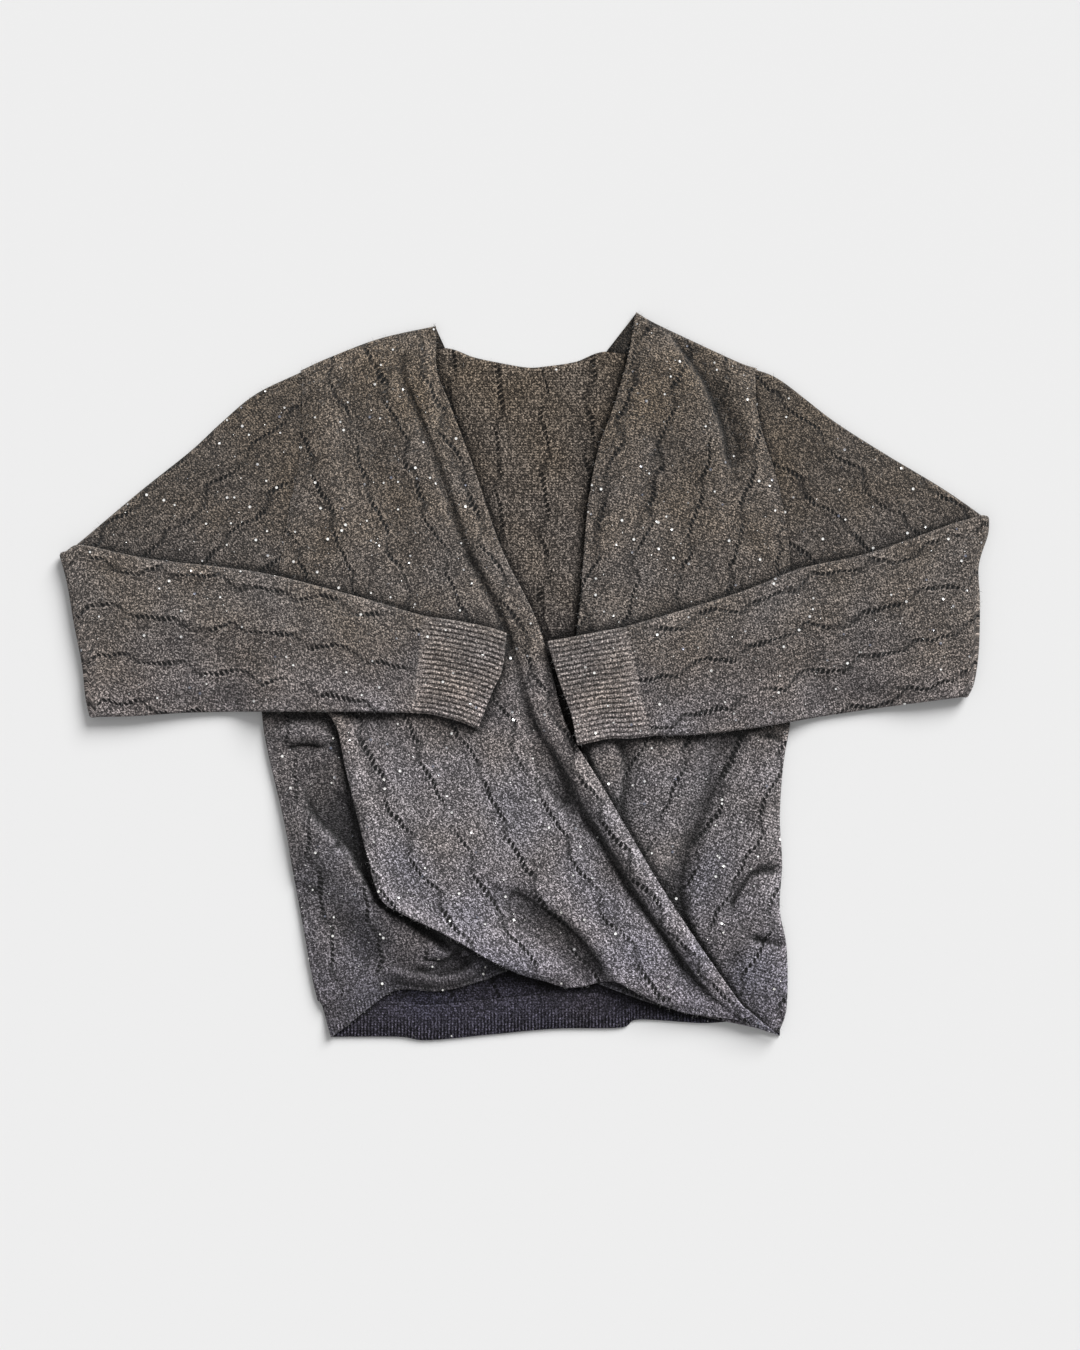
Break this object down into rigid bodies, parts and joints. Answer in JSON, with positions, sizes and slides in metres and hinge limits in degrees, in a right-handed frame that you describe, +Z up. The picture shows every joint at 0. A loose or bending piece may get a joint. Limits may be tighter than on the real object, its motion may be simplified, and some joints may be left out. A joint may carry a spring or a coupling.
{
  "type": "wrap front knitted sweater laid flat",
  "caption": "Wrap front V-neck knitted sweater lying flat on its back, with wide drop-shoulder sleeves folded over the chest and ribbed cuffs and hem.",
  "frame": {"origin": "centre of the bounding box in plan, on the surface that the garment lies on", "axes": "+X across the body to the wearer's left, +Y from the hem to the neck, +Z up from the surface"},
  "size_m": [0.8092, 0.635, 0.0205],
  "materials": {
    "knit": "heathered fine wool knit, matte, slightly fuzzy",
    "knit_inside": "inside face of the same knit, matte",
    "knit_rib": "fine ribbed knit of the same yarn, matte"
  },
  "bodies": {
    "root": {"back_panel": "knit_inside", "back_hem_rib": "knit_rib", "front_under": "knit", "neckband_under": "knit_rib", "front_side": "knit", "front_side_rib": "knit_rib", "front_over": "knit", "neckband_over": "knit_rib", "sleeve_right": "knit", "cuff_right": "knit_rib", "sleeve_left": "knit", "cuff_left": "knit_rib"}
  },
  "joints": []
}
